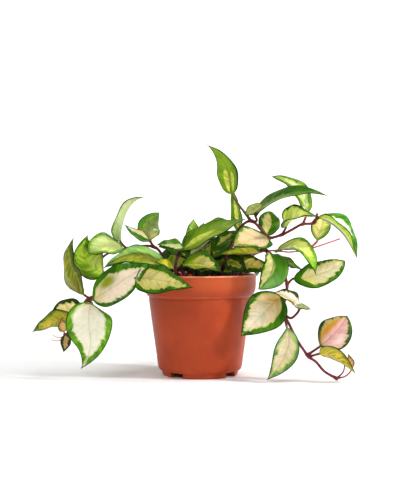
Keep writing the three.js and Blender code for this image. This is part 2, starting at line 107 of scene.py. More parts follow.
class Shade:  # one material and what builds its nodes
    def __init__(self, name, **fixed):
        self.material = bpy.data.materials.new(name)
        self.material.use_nodes = True
        self.tree = self.material.node_tree
        self.surface = self.tree.nodes["Principled BSDF"]
        self.paint(**fixed)

    def node(self, kind, settings, inputs, output=0):
        made = self.tree.nodes.new("ShaderNode" + kind)
        for key, value in settings.items():
            setattr(made, key, value)
        for key, value in inputs.items():
            self.feed(made.inputs[key], value)
        return Signal(self, made.outputs[output])

    def feed(self, socket, value):
        if isinstance(value, Signal):
            self.tree.links.new(value.socket, socket)
        else:
            socket.default_value = value

    def paint(self, **values):
        for socket, value in values.items():
            self.feed(self.surface.inputs[socket.replace("_", " ")], value)

    def blend(self, factor, first, second, mode="MIX"):  # colours
        settings = {"data_type": "RGBA", "blend_type": mode}
        return self.node("Mix", settings, {0: factor, 6: first, 7: second}, 2)

    def tint(self, colour, red, green, blue, share=1.0):
        return self.blend(share, colour, (red, green, blue, 1), "MULTIPLY")

    def mark(self, name, output="Fac"):  # what the mesh carries at each point
        return self.node("Attribute", {"attribute_name": name}, {}, output)

    def speckle(self, vector, scale, detail=2.0, roughness=0.5):
        inputs = {"Vector": vector, "Scale": scale, "Detail": detail, "Roughness": roughness}
        return self.node("TexNoise", {}, inputs)

    def bump(self, height, distance, strength=1.0):
        inputs = {"Height": height, "Distance": distance, "Strength": strength}
        self.feed(self.surface.inputs["Normal"], self.node("Bump", {}, inputs))


print("leaf material")
leafFinish = {
    "jagReach": 11.0,  # mm that the edge of the green wanders
    "jagScale": 2.1,  # per cm across the veins
    "bandColour": tone("92aa24"),  # light green between green and cream
    "bandReach": 1.5,  # mm
    "bandBlur": 0.8,  # mm, to each side
    "rimColour": tone("142608"),
    "rimReach": 1.0,  # mm of darker edge
    "undersideColour": tone("96a850"),
    "ribReach": (0.015, 0.07),  # cm from the midline
    "veinPitch": 0.62,  # cm
    "veinWidth": 0.13,  # of the pitch
    "skin": {
        "IOR": 1.45,
        "Specular_IOR_Level": 0.05,
        "Coat_Roughness": 0.14,
        "Subsurface_Weight": 0.5,  # light comes through the thin blade
        "Subsurface_Radius": (1.0, 1.0, 0.5),
        "Subsurface_Scale": 0.002,
    },
}


def makeLeafShade():
    shade = Shade("waxyLeaf", **leafFinish["skin"])
    place = shade.mark("leafPlace", "Vector")
    along, across, seed = (shade.node("SeparateXYZ", {}, {0: place}, k) for k in range(3))
    reachAcross = across.maths("ABSOLUTE", across)
    slant = along - reachAcross * 0.8  # constant along a side vein
    veins = shade.node("CombineXYZ", {}, {0: slant, 1: across * 0.25, 2: seed})
    spots = shade.node("CombineXYZ", {}, {0: along, 1: across, 2: seed + 4})
    # where the green ends
    jag = shade.speckle(veins, leafFinish["jagScale"], 4.0, 0.6)
    broad = shade.speckle(spots, 0.8, 2.0)
    reach = leafFinish["jagReach"]
    edge = shade.mark("variegation") + (jag - 0.5) * reach + (broad - 0.5) * reach * 0.5
    green = edge.rise(-0.2, 0.3)
    bandReach, bandBlur = leafFinish["bandReach"], leafFinish["bandBlur"]
    near = edge.rise(-bandReach - bandBlur, -bandReach + bandBlur)
    # the green is dark and light in patches that follow the side veins
    patchy = shade.mark("patchy")
    patch = shade.speckle(veins, 1.3, 3.0, 0.58)
    margin = shade.mark("marginColour", "Color")
    paleGreen = shade.tint(margin, 1.8, 1.45, 1.25)
    darkGreen = shade.tint(margin, 0.4, 0.54, 0.4)
    margin = shade.blend(patch.rise(0.48, 0.68) * patchy * 0.65, margin, paleGreen)
    margin = shade.blend((1 - patch).rise(0.44, 0.64) * patchy * 0.8, margin, darkGreen)
    # the pale middle is clouded, and blotched green and yellow where it isn't white
    mottle = shade.mark("mottle")
    stain = shade.speckle(veins, 2.4, 4.0, 0.64)
    bare = shade.mark("heartColour", "Color")
    greener = shade.tint(bare, 0.38, 0.6, 0.32)
    yellower = shade.tint(bare, 1.4, 1.22, 1.05)
    heart = shade.blend(stain.rise(0.47, 0.6) * mottle * 0.9, bare, greener)
    heart = shade.blend((1 - stain).rise(0.5, 0.62) * mottle * 0.9, heart, yellower)
    cloud = shade.speckle(spots, 1.9, 4.0, 0.6)
    heart = shade.tint(heart, 0.86, 0.8, 0.7, cloud.rise(0.46, 0.7) * 0.5)
    heart = shade.blend(near * 0.85, heart, shade.blend(0.6, heart, leafFinish["bandColour"]))
    colour = shade.blend(green, heart, margin)
    # midrib, then side veins
    rib = 1 - reachAcross.rise(*leafFinish["ribReach"])
    ribTone = shade.blend(mottle, (0.8, 0.76, 0.6, 1), (1.3, 1.2, 1.1, 1))
    colour = shade.blend(rib * 0.6, colour, ribTone, "MULTIPLY")
    wave = slant / leafFinish["veinPitch"] + shade.speckle(spots, 1.2) * 0.9
    turn = wave.maths("FRACT", wave) - 0.5
    line = turn.maths("ABSOLUTE", turn)
    vein = (1 - line.rise(0.0, leafFinish["veinWidth"])) * shade.speckle(spots, 1.5).rise(0.3, 0.6)
    paler = green.maths("MAXIMUM", green, mottle)
    veinTone = shade.blend(paler, (0.84, 0.82, 0.68, 1), (1.5, 1.3, 1.4, 1))
    colour = shade.blend(vein * (0.08 + paler * 0.36), colour, veinTone, "MULTIPLY")
    # underside, then the darker rim
    under = shade.mark("underside")
    colour = shade.blend(under * 0.12, colour, leafFinish["undersideColour"])
    inset = shade.mark("inset")
    rimReach = leafFinish["rimReach"]
    rim = 1 - (inset + (jag - 0.5) * 1.4).rise(rimReach * 0.3, rimReach)
    stalk = shade.mark("stalk")
    colour = shade.blend(rim * (1 - stalk) * 0.95, colour, leafFinish["rimColour"])
    # skin of the stalk
    streak = shade.speckle(place, 3.0, 3.0, 0.6).rise(0.35, 0.7)
    colour = shade.blend(stalk, colour, shade.tint(bare, 0.5, 0.4, 0.42, streak))
    # shine and relief
    rough = 0.27 + shade.speckle(veins, 5.0, 3.0) * 0.2 + under * 0.1
    height = shade.speckle(veins, 7.0, 4.0) * 0.5 - vein * 0.4 - rib * 0.4 + patch * 0.9
    shade.bump(height + inset.rise(-0.4, 2.2) * 0.9, 0.0012, 0.8)
    glint = shade.speckle(spots, 1.1, 2.0).rise(0.5, 0.72)
    shade.paint(Base_Color=colour, Roughness=rough, Coat_Weight=0.03 + glint * 0.4)
    return shade.material


def makeStemShade():
    shade = Shade("stemSkin", IOR=1.45, Specular_IOR_Level=0.35)
    place = shade.mark("leafPlace", "Vector")
    skin = shade.mark("heartColour", "Color")
    blotch = shade.speckle(place, 2.2, 3.0, 0.65)
    lenticel = shade.speckle(place, 9.0, 2.0).rise(0.58, 0.72)
    colour = shade.blend(blotch.rise(0.4, 0.66), skin, shade.tint(skin, 0.42, 0.34, 0.36))
    colour = shade.blend(lenticel * 0.6, colour, shade.blend(0.45, skin, tone("ce8068")))
    shade.bump(shade.speckle(place, 14.0, 3.0), 0.0004, 0.5)
    shade.paint(Base_Color=colour, Roughness=0.42 + blotch * 0.2)
    return shade.material


waxyLeaf = makeLeafShade()
print("stem material")
stemSkin = makeStemShade()

palette = {
    "cream": "e8dabe",
    "butter": "d8cc82",
    "lime": "acc03e",
    "paleLime": "becc6c",
    "green": "407a18",
    "deepGreen": "2e6414",
    "coral": "de9270",
    "blush": "ecccb6",
    "purple": "782a32",
    "darkPurple": "4a1c1c",
    "pink": "cc707c",
}

leafForm = {
    "midThickness": 1.5,
    "edgeThickness": 0.8,
    "rimBulge": 0.3,
    "ribGroove": 0.35,
    "ribKeel": 0.45,
    "ribWidth": 1.1,
    "leastAtStalk": 1.0,  # half width
    "leastAtTip": 0.35,
    "stalkRadius": 1.35,
    "youngStalkRadius": 0.85,
    "youngWidth": 14,
    "stalkFlare": 0.45,  # wider at the stem
    "stalkWaist": 0.12,
    "stalkSteps": 6,  # rings from one of its points to the next
    "stalkGreen": 0.35,  # how green it is at the blade
    "waveHeight": 1.2,
    "waveCount": 2.1,
    "pucker": 0.45,  # unevenness of the skin
    "puckers": ((0.11, 0.6), (0.3, 0.4)),  # scale and share
    "lead": 0.7,  # of the outline, unless the leaf has its own
    "tail": 1.2,
    "fades": {"wave": 10, "pucker": 8, "bulge": 3, "rib": 6},  # mm of half width that have all of it
    "stations": 30,
    "columns": (-1, -0.93, -0.83, -0.7, -0.55, -0.4, -0.25, -0.12, -0.04),
}
columns = leafForm["columns"] + (0,) + tuple(-t for t in reversed(leafForm["columns"]))

stemForm = {
    "sides": 14,
    "steps": 9,  # rings from one point of the path to the next
    "taper": 0.25,
    "knobReach": 2.4,  # mm around the root of a leaf
    "knobSwell": 0.35,
    "uneven": 0.08,
    "rootletRadius": 0.6,
    "rootletTaper": 0.5,
    "rootletSides": 8,
}

markKinds = {  # what each point carries, in the order of a mark's values
    "variegation": "FLOAT",  # mm inside the green, below 0 in the pale middle
    "inset": "FLOAT",  # mm from the edge of the leaf
    "underside": "FLOAT",
    "stalk": "FLOAT",
    "mottle": "FLOAT",
    "patchy": "FLOAT",
    "leafPlace": "FLOAT_VECTOR",  # cm along and across, and a seed
    "heartColour": "FLOAT_COLOR",
    "marginColour": "FLOAT_COLOR",
}


def smoothCurve(points, count):  # a centripetal spline through the points, count steps a span
    knots = [Vector(p) for p in points]
    knots = [knots[0] * 2 - knots[1]] + knots + [knots[-1] * 2 - knots[-2]]
    curve = []
    for i in range(1, len(knots) - 2):
        a, b, c, d = knots[i - 1:i + 3]
        ab, bc, cd = (math.sqrt((q - p).length) for p, q in ((a, b), (b, c), (c, d)))
        leave = ((b - a) / ab - (c - a) / (ab + bc) + (c - b) / bc) * bc
        arrive = ((c - b) / bc - (d - b) / (bc + cd) + (d - c) / cd) * bc
        for k in range(count):
            u = k / count
            cubic = (b - c) * 2 + leave + arrive
            square = (c - b) * 3 - leave * 2 - arrive
            curve.append(b + leave * u + square * u ** 2 + cubic * u ** 3)
    curve.append(knots[-2].copy())
    return curve


class Skin:  # points, faces and what the materials read, for one piece
    def __init__(self):
        self.points = []
        self.faces = []
        self.slots = []
        self.marks = []

    def loft(self, rings, marks, slot):
        start = len(self.points)
        size = len(rings[0])
        for ring, mark in zip(rings, marks):
            self.points += ring
            self.marks += mark
        for i in range(len(rings) - 1):
            here = start + i * size
            for j in range(size):
                k = (j + 1) % size
                self.faces.append((here + j, here + size + j, here + size + k, here + k))
        end = start + (len(rings) - 1) * size
        self.faces.append(tuple(range(start, start + size)))
        self.faces.append(tuple(reversed(range(end, end + size))))
        self.slots += [slot] * ((len(rings) - 1) * size + 2)

    def piece(self, name, materials):
        mesh = bpy.data.meshes.new(name)
        mesh.from_pydata([p * mm for p in self.points], [], self.faces)
        for material in materials:
            mesh.materials.append(material)
        mesh.polygons.foreach_set("material_index", self.slots)
        mesh.polygons.foreach_set("use_smooth", [True] * len(self.faces))
        fields = {"FLOAT": "value", "FLOAT_VECTOR": "vector", "FLOAT_COLOR": "color"}
        for (key, kind), values in zip(markKinds.items(), zip(*self.marks)):
            flat = values if kind == "FLOAT" else [x for value in values for x in value]
            mesh.attributes.new(key, kind, "POINT").data.foreach_set(fields[kind], flat)
        bm = bmesh.new()
        bm.from_mesh(mesh)
        bmesh.ops.recalc_face_normals(bm, faces=bm.faces)
        bm.to_mesh(mesh)
        bm.free()
        return addObject(name, mesh)


def mixTones(first, second, share):
    return tuple(a + (b - a) * share for a, b in zip(first, second))


def shadeOf(colour):  # a name from the palette, or hex digits
    return tone(palette.get(colour, colour))


def outline(s, lead, tail):  # half width along the blade, 1 at its widest
    peak = lead / (lead + tail)
    return (s ** lead * (1 - s) ** tail) / (peak ** lead * (1 - peak) ** tail)


def midrib(leaf, s):  # bend bows it one way, sway makes it an S; each factor peaks at 1
    point = Vector(leaf["base"]).lerp(Vector(leaf["tip"]), s)
    point += Vector(leaf["bend"]) * (4 * s * (1 - s))
    return point + Vector(leaf.get("sway", (0, 0, 0))) * (10.4 * s * (1 - s) * (2 * s - 1))


def squareTo(ahead, up):  # up and side, square to the way ahead
    up = (up - ahead * up.dot(ahead)).normalized()
    return up, ahead.cross(up)


def bladeFrame(leaf, s):
    step = 1e-3
    ahead = midrib(leaf, min(1, s + step)) - midrib(leaf, max(0, s - step))
    return squareTo(ahead.normalized(), Vector(leaf["face"]))


def halfWidth(leaf, s):
    least = leafForm["leastAtStalk" if s < 0.5 else "leastAtTip"]
    lead, tail = (leaf.get(key, leafForm[key]) for key in ("lead", "tail"))
    shape = outline(min(max(s, 0), 1), lead, tail)
    return max(leaf["width"] / 2 * shape, least)


def fade(kind, half):  # towards the ends of the blade
    return min(1, half / leafForm["fades"][kind])


def bladePoint(leaf, s, t, lift, phase, outward=0.0):  # t is -1 and 1 at the edges
    up, side = bladeFrame(leaf, s)
    half = halfWidth(leaf, s)
    fold = math.radians(leaf["fold"])
    curl = math.radians(leaf.get("curl", 0.001))  # hardly any, but never 0
    turn = fold + curl * abs(t)
    reach = half / curl * (math.sin(turn) - math.sin(fold))
    rise = half / curl * (math.cos(fold) - math.cos(turn))
    beat = leafForm["waveCount"] * s + phase + (0.5 if t < 0 else 0)
    height = leafForm["waveHeight"] * leaf.get("wave", 1) * fade("wave", half)
    wave = height * t * t * math.sin(2 * math.pi * beat)
    hand = -1 if t < 0 else 1
    point = midrib(leaf, s) + side * (hand * (reach + outward)) + up * (rise + wave)
    pucker = sum(noise.noise(point * scale) * share for scale, share in leafForm["puckers"])
    lift += leafForm["pucker"] * pucker * fade("pucker", half)
    return point + up * (lift * math.cos(turn)) - side * (hand * lift * math.sin(turn))


def plainMark(colour, along, across, seed):  # on stems and stalks
    return (-20.0, 5.0, 0.0, 1.0, 0.0, 0.0, (along, across, seed), colour, colour)


def leafMark(leaf, s, t, upper, seed):
    half = halfWidth(leaf, s)
    length = (Vector(leaf["tip"]) - Vector(leaf["base"])).length
    inset = (1 - abs(t)) * half
    left, right = leaf["margins"]
    green = left + (right - left) * min(1, max(0, t * 2 + 0.5)) - inset

    def nearness(spot):  # 1 at the spot's middle
        ps, pt, rs, rt = (value / 100 for value in spot[:4])
        return math.exp(-(((s - ps) / rs) ** 2) - ((t - pt) / rt) ** 2)

    for spot in leaf.get("patches", ()):
        green += spot[4] * nearness(spot)
    green *= leaf.get("calm", 1)
    heart, margin = shadeOf(leaf["heart"]), shadeOf(leaf["margin"])
    mottle = (1 - min(heart[:3]) / max(heart[:3])) ** 2  # white parts stay clean
    for key in ("washes", "clouds"):
        for spot in leaf.get(key, ()):
            share = min(1, spot[5] / 100 * nearness(spot))
            heart = mixTones(heart, shadeOf(spot[4]), share)
            if key == "washes":
                margin = mixTones(margin, shadeOf(spot[4]), share)
    place = (s * length / 10, t * half / 10, seed)
    under = 0.0 if upper else 1.0
    return (green, inset, under, 0.0, mottle, leaf.get("patchy", 1.0), place, heart, margin)


def ringAround(centre, up, side, width, angles):
    return [centre + (side * math.cos(a) + up * math.sin(a)) * width for a in angles]


def stalkRings(leaf, seed, stemColour):
    radius = leafForm["youngStalkRadius" if leaf["width"] < leafForm["youngWidth"] else "stalkRadius"]
    steps = leafForm["stalkSteps"]
    knots = [leaf["root"], *leaf.get("via", ()), leaf["base"]]
    curve = smoothCurve([*knots, midrib(leaf, 0.12)], steps)[:steps * (len(knots) - 1) + 1]
    last = len(curve) - 1
    count = len(columns)  # as many points as the blade has on each face, and two at the sides
    angles = [math.pi * (1 - (j + 0.5) / count) for j in range(count)]
    angles = [*angles, 0, *(-a for a in reversed(angles)), math.pi]
    stalkColour = shadeOf(leaf.get("stalk", stemColour))
    greenEnd = mixTones(stalkColour, shadeOf(leaf["margin"]), leafForm["stalkGreen"])
    up = bladeFrame(leaf, 0.01)[0]
    rings, marks = [], []
    for k in range(last, -1, -1):  # from the blade down to the stem
        ahead = curve[min(last, k + 1)] - curve[max(0, k - 1)]
        up, side = squareTo(ahead.normalized(), up)
        share = k / last
        flare = leafForm["stalkFlare"] * (1 - share) ** 4
        width = radius * (1 + flare - leafForm["stalkWaist"] * math.sin(math.pi * share))
        colour = mixTones(stalkColour, greenEnd, share ** 2)
        rings.append(ringAround(curve[k], up, side, width, angles))
        marks.append([plainMark(colour, k * 0.2 - 3, angle * 0.1, seed) for angle in angles])
    return rings[::-1], marks[::-1]


def bladeRings(leaf, phase, seed):
    rings, marks = [], []
    for k in range(1, leafForm["stations"] + 1):
        s = 0.5 * (1 - math.cos(math.pi * k / leafForm["stations"]))
        half = halfWidth(leaf, s)
        bulge = leafForm["rimBulge"] * fade("bulge", half)
        ring, mark = [], []
        for faceSide, row in ((1, columns), (-1, columns[::-1])):
            for t in row:
                thickness = leafForm["midThickness"]
                thickness += (leafForm["edgeThickness"] - thickness) * abs(t)
                thickness *= min(1, 0.35 + half / 5)
                rib = math.exp(-((t * half / leafForm["ribWidth"]) ** 2)) * fade("rib", half)
                lift = faceSide * thickness / 2
                lift -= rib * leafForm["ribGroove" if faceSide == 1 else "ribKeel"]
                ring.append(bladePoint(leaf, s, t, lift, phase))
                mark.append(leafMark(leaf, s, t, faceSide == 1, seed))
            ring.append(bladePoint(leaf, s, row[-1], 0, phase, bulge))
            mark.append(leafMark(leaf, s, row[-1], True, seed))
        rings.append(ring)
        marks.append(mark)
    return rings, marks


def growTube(skin, path, radius, colour, seed, knobs, taper, sides):
    curve = smoothCurve(path, stemForm["steps"])
    angles = [2 * math.pi * j / sides for j in range(sides)]
    last = len(curve) - 1
    length = 0.0
    up = Vector((0.3, 1, 0.2))
    rings, marks = [], []
    for k, point in enumerate(curve):
        ahead = curve[min(last, k + 1)] - curve[max(0, k - 1)]
        up, side = squareTo(ahead.normalized(), up)
        gaps = ((point - Vector(knob)).length / stemForm["knobReach"] for knob in knobs)
        swell = stemForm["knobSwell"] * min(1, sum(math.exp(-(gap ** 2)) for gap in gaps))
        width = radius * (1 - taper * k / last + swell)
        width *= 1 + stemForm["uneven"] * noise.noise(point * 0.15 + Vector((seed, 0, 0)))
        if k:
            length += (point - curve[k - 1]).length
        rings.append(ringAround(point, up, side, width, angles))
        marks.append([plainMark(colour, length / 10, a * radius / 10, seed) for a in angles])
    tip = curve[last] + (curve[last] - curve[last - 1]).normalized() * radius * 0.5
    rings.append([curve[last].lerp(p, 0.55) + (tip - curve[last]) for p in rings[-1]])
    marks.append(marks[-1])
    skin.loft(rings, marks, 1)


def growVine(name, node, vine, order):
    skin = Skin()
    stemColour = vine["stem"]
    knobs = [leaf["root"] for leaf in vine["leaves"]]
    growTube(skin, vine["path"], vine["radius"], shadeOf(stemColour), order * 3.7, knobs,
             stemForm["taper"], stemForm["sides"])
    for number, leaf in enumerate(vine["leaves"]):
        phase = (0.37 * (number + 3 * order)) % 1
        seed = order * 7.3 + number * 1.9
        stalk, stalkMarks = stalkRings(leaf, seed, stemColour)
        blade, bladeMarks = bladeRings(leaf, phase, seed)
        skin.loft(stalk + blade, stalkMarks + bladeMarks, 0)
    for rootlet in vine.get("rootlets", ()):
        growTube(skin, rootlet, stemForm["rootletRadius"], shadeOf("coral"), order + 0.5, (),
                 stemForm["rootletTaper"], stemForm["rootletSides"])
    piece = skin.piece(name, [waxyLeaf, stemSkin])
    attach(piece, "root")
    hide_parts(node)
    print("grown", name, len(piece.data.polygons))


# Points are in mm, curl and fold in degrees. Margins are the mm of green at t -1 and at t 1.
# A spot starts with its place and reach, along and across, in hundredths of the blade. A patch
# then has the mm of green that it adds. A wash has a colour and its strength in hundredths, and
# a cloud is a wash that leaves the green alone. Calm is above 1 where the edge of the green
# hardly wanders, and patchy below 1 where the green is even.
def leaf(root, base, tip, bend, width, face, fold, heart, margin, margins, **more):
    return dict(more, root=root, base=base, tip=tip, bend=bend, width=width, face=face, fold=fold,
                heart=heart, margin=margin, margins=margins)


print("vines")
upperLeftVine = {
    "stem": "purple",
    "radius": 1.6,
    "path": ((-20, 4, 86), (-20, 4, 102), (-34, 1, 117), (-45, 0, 133), (-52, 2, 136), (-63, 6, 136),
        (-74, 10, 134), (-88, 15, 131), (-101, 18, 127), (-108, 19, 119), (-106, 18, 108)),
    "leaves": (
        leaf((-106, 18, 111), (-104, 15, 107), (-120, 6, 148), (-10, -2, -6),  # cupped and pale
            39, (0.25, -0.85, 0.35), 16, "c8ea4c", "669a1c", (3, 3), curl=16,
            washes=((80, 35, 18, 40, "2c4614", 90), (25, 40, 25, 45, "d6e292", 70),
            (35, -75, 30, 30, "46741c", 70))),
        leaf((-77, 11, 134), (-82, 8, 132), (-117, -6, 128), (-2, -2, 6),  # pale, points left
            42, (0, -0.54, 0.84), 10, "cede90", "70a626", (5.5, 5), tail=0.85,
            washes=((50, -30, 30, 30, "ced664", 50), (90, 0, 15, 100, "608c30", 60))),
        leaf((-79, 12, 133), (-86, 14, 142), (-60, 4, 188), (-8, 0, 3),  # upright pale, seen from below
            27, (-0.92, 0.25, 0.3), 24, "d2e0aa", "a6cc5e", (1.5, 1.5), lead=0.6, tail=1,
            sway=(-0.5, 0, 3), washes=((10, 50, 20, 60, "5c8630", 80),)),
        leaf((-49, 2, 135), (-53, 5, 142), (-44, 18, 172), (-5, 0, 0),  # grey-green, seen from below
            26, (-0.2, 0.92, 0.3), 12, "607a3c", "467e18", (2, 5), lead=0.75, tail=0.95, patchy=0.5,
            washes=((20, -40, 25, 40, "b0926e", 70), (65, -70, 30, 30, "a0b080", 50))),
        leaf((-49, 0, 135), (-54, -2, 142), (-79, -10, 159), (-1, 0, -4),  # cream, with a green edge
            22, (0.3, -0.5, 0.8), 22, "c6be90", "346c0c", (5.5, 1), wave=0.4,
            patches=((40, 8, 50, 32, 13),), washes=((50, 95, 90, 16, "964c38", 80),)),
    ),
}
growVine("upperLeftVine", "vine_upper_left", upperLeftVine, 0)

trailingLeftVine = {
    "stem": "purple",
    "radius": 1.7,
    "path": ((-38, -16, 86), (-38, -16, 101), (-40, -36, 113), (-50, -51, 110), (-71, -50, 100),
        (-91, -46, 92), (-113, -38, 83), (-119, -35, 78), (-127, -28, 62), (-134, -24, 47),
        (-141, -26, 44)),
    "leaves": (
        leaf((-113, -38, 83), (-119, -38, 87), (-130, -28, 146), (-13, -3, -3),  # olive, seen from below
            40, (0.85, 0.5, 0.1), 12, "7e800e", "56700a", (5.5, 5.5),
            washes=((40, 15, 30, 25, "b0b646", 70), (60, -90, 60, 20, "3c2816", 90),
            (12, 0, 16, 100, "603e1e", 60))),
        leaf((-113, -38, 83), (-109, -44, 82), (-51, -58, 119), (-1, -2, -1),  # large, cream
            41, (-0.3, -0.85, 0.4), 8, "ead9c2", "3a7006", (6.3, 3.7), tail=1,
            clouds=((33, -42, 13, 26, "8c9614", 170), (10, 10, 14, 60, "c4b45c", 60))),
        leaf((-68, -51, 101), (-64, -60, 105), (-7, -74, 96), (0, -1, 1),  # cream, over the rim
            34, (0.1, -0.85, 0.5), 8, "b4aa62", "346208", (5.5, 5), lead=0.45, tail=1.25,
            patches=((88, 0, 12, 100, -4),), clouds=((50, -20, 40, 40, "c8c082", 60),)),
        leaf((-115, -37, 81), (-110, -44, 78), (-121, -46, 12), (4, -5, 2),  # broad cream, hangs
            47, (0.05, -0.97, 0.2), 8, "e4e2cf", "5c9418", (4.8, 4.8), curl=-8, sway=(3, 0, 0), lead=0.6,
            tail=1.25, patches=((62, 75, 20, 30, 2.5), (30, -80, 20, 30, 2), (97, 0, 8, 100, -5)),
            clouds=((0, 0, 14, 60, "c8b288", 60),)),
        leaf((-126, -28, 64), (-127, -15, 62), (-157, -8, 66), (1, 1, 6),  # small cream, with a dark edge
            26, (0, -0.85, 0.5), 10, "fae6a8", "30460a", (2.5, 4)),
        leaf((-127, -28, 63), (-134, -25, 65), (-173, -30, 48), (1, -1, 2),  # olive, at the left end
            25, (-0.1, 0.66, 0.7), 10, "ccb83c", "627014", (3, 3), washes=((50, 30, 30, 40, "dcc85c", 60),
            (40, -50, 30, 40, "7c8e22", 50))),
        leaf((-139, -26, 44), (-141, -28, 48), (-143, -32, 62), (0, -1, 0),  # young and pink
            10, (0.3, -0.9, 0), 15, "eeb086", "bc9852", (1.5, 1.5)),
        leaf((-138, -26, 45), (-139, -29, 45), (-141, -31, 27), (1, -1, 0),  # young and dark
            11, (0.3, -0.9, 0.1), 15, "c48876", "322f16", (2.5, 3)),
    ),
    "rootlets": (((-139, -26, 44), (-146, -31, 42), (-152, -32, 45)),
        ((-139, -26, 43.5), (-146, -32, 39), (-154, -32, 40))),
}
growVine("trailingLeftVine", "vine_trailing_left", trailingLeftVine, 1)

lowLeftVine = {
    "stem": "purple",
    "radius": 1.7,
    "path": ((-22, -12, 86), (-22, -12, 101), (-24, -14, 108), (-29, -18, 113)),
    "leaves": (
        leaf((-28, -17.5, 112), (-36, -20, 114), (-99, -34, 114), (2, -1, 12),  # arching, over the rim; the first wash is a painted sheen on the far half, the third a painted glow of light through the near half
            42, (0, -0.46, 0.88), 6, "8e9628", "306012", (4.5, 7), patchy=0.5,
            washes=((50, 70, 90, 36, "8ec070", 90), (50, 20, 80, 12, "22460e", 85),
            (50, -35, 50, 30, "acaa34", 50))),
        leaf((-24, -14, 108), (-28, -25, 113), (-46, -34, 120), (0, -1, 2),  # small yellow-green
            16, (0, -0.6, 0.8), 10, "d6cc32", "78941a", (2, 2)),
    ),
}
growVine("lowLeftVine", "vine_low_left", lowLeftVine, 2)

centerLeftVine = {
    "stem": "darkPurple",
    "radius": 1.9,
    "path": ((-25, -30, 86), (-25, -30, 101), (-25, -29, 118), (-22, -26, 129)),
    "leaves": (
        leaf((-23, -27, 127), (-19, -23, 132), (49, -14, 165), (-5, -3, 2),  # large, yellow streak; the second wash is painted shade on the far half near the base
            36, (-0.25, -0.5, 0.85), 8, "c1cc54", "688a10", (18, 20), calm=1.3, patchy=0.6,
            patches=((22, 20, 36, 34, -15),), washes=((85, 0, 30, 100, "688042", 70),
            (12, -70, 22, 50, "28500e", 85), (60, -80, 40, 30, "3a6416", 50),
            (40, 60, 30, 40, "8ca028", 50))),
        leaf((-23, -27, 127), (-18, -31, 135), (-44, -42, 138), (0, 0, 1),  # leaf that points left
            17, (0, -0.7, 0.7), 12, "b0b688", "40680e", (3, 6), lead=0.4, tail=1),
    ),
}
growVine("centerLeftVine", "vine_center_left", centerLeftVine, 3)

centerLowVine = {
    "stem": "darkPurple",
    "radius": 1.6,
    "path": ((-15, -33, 86), (-15, -33, 101), (-17, -35, 108), (-22, -38, 115)),
    "leaves": (
        leaf((-16, -34, 105), (-1, -18, 120), (15, -12, 144), (-6, -1, -1),  # upright cream and dark
            26, (-0.85, -0.45, 0.2), 30, "fff6d6", "3c5816", (0, 4)),
        leaf((-21, -37.5, 114), (-17, -40, 118), (22, -54, 111), (0, -1, 3),  # folded, over the rim
            34, (0.1, -0.6, 0.8), 22, "aca25a", "305608", (5, 6.5), patches=((6, 0, 26, 120, 9),
            (50, 80, 30, 30, 3)), washes=((20, 30, 26, 80, "8c9e16", 80), (60, 95, 50, 25, "889828", 60)),
            clouds=((70, -20, 20, 50, "c8ba78", 50),)),
    ),
}
growVine("centerLowVine", "vine_center_low", centerLowVine, 4)

centerBackVine = {
    "stem": "darkPurple",
    "radius": 1.7,
    "path": ((-7, 8, 86), (-7, 8, 101), (-7, 8, 114), (-8, 8, 127)),
    "leaves": (
        leaf((-8, 8, 126), (-6, 7, 136), (-7, 1, 165), (-1, -1, 0),  # light green tip
            17, (0.2, -0.9, 0.3), 8, "bcdc6a", "86b646", (3, 3), lead=0.8),
        leaf((-8, 8, 127), (-2, 9, 138), (4, 4, 161), (1, -1, 0),  # light green, beside it
            18, (-0.2, -0.9, 0.3), 8, "a0c654", "6e9e36", (3, 3), lead=0.8),
        leaf((-7.5, 8, 122), (2, 14, 142), (31, 6, 163), (-2, 0, 7),  # green, behind
            18, (0, -0.5, 0.85), 8, "a0bc46", "568024", (6, 6)),
        leaf((-7, 8, 114), (4, 22, 124), (36, 34, 142), (0, 2, 2),  # dark, behind
            30, (-0.1, -0.75, 0.65), 8, "96a228", "406812", (8, 8)),
        leaf((-7, 8, 115), (-36, 19, 109), (-6, 30, 132), (-2, 2, 2),  # dark, at the back
            34, (0, -0.85, 0.5), 8, "889628", "2e5010", (9, 9), via=((-20, 12, 111),)),
        leaf((-7.5, 8, 120), (-20, 0, 126), (-44, -6, 135), (-1, 1, 4),  # dark green
            18, (0, -0.6, 0.8), 8, "8c9c32", "345818", (8, 8)),
    ),
}
growVine("centerBackVine", "vine_center_back", centerBackVine, 5)

centerRightVine = {
    "stem": "darkPurple",
    "radius": 1.6,
    "path": ((20, -20, 86), (20, -20, 101), (22, -20, 109), (27, -20, 117)),
    "leaves": (
        leaf((21, -20, 106), (12, -30, 131), (42, -8, 152), (2, 2, 4),  # dark, with a cream heart
            18, (-0.2, -0.7, 0.6), 12, "ece692", "406814", (6, 6), via=((15, -27, 118),)),
        leaf((25, -20, 115), (34, -26, 120), (76, -36, 113), (0, -2, 0),  # cream, on the rim
            22, (0, -0.8, 0.6), 8, "d8c268", "2c4e08", (3, 5), patches=((10, 0, 16, 100, 6),)),
        leaf((23, -20, 112), (26, -30, 121), (48, -45, 109), (0, -2, 2),  # dark leaf low down, its deep colours partly painted shade
            20, (0, -0.8, 0.6), 10, "686424", "223608", (6, 6)),
    ),
}
growVine("centerRightVine", "vine_center_right", centerRightVine, 6)

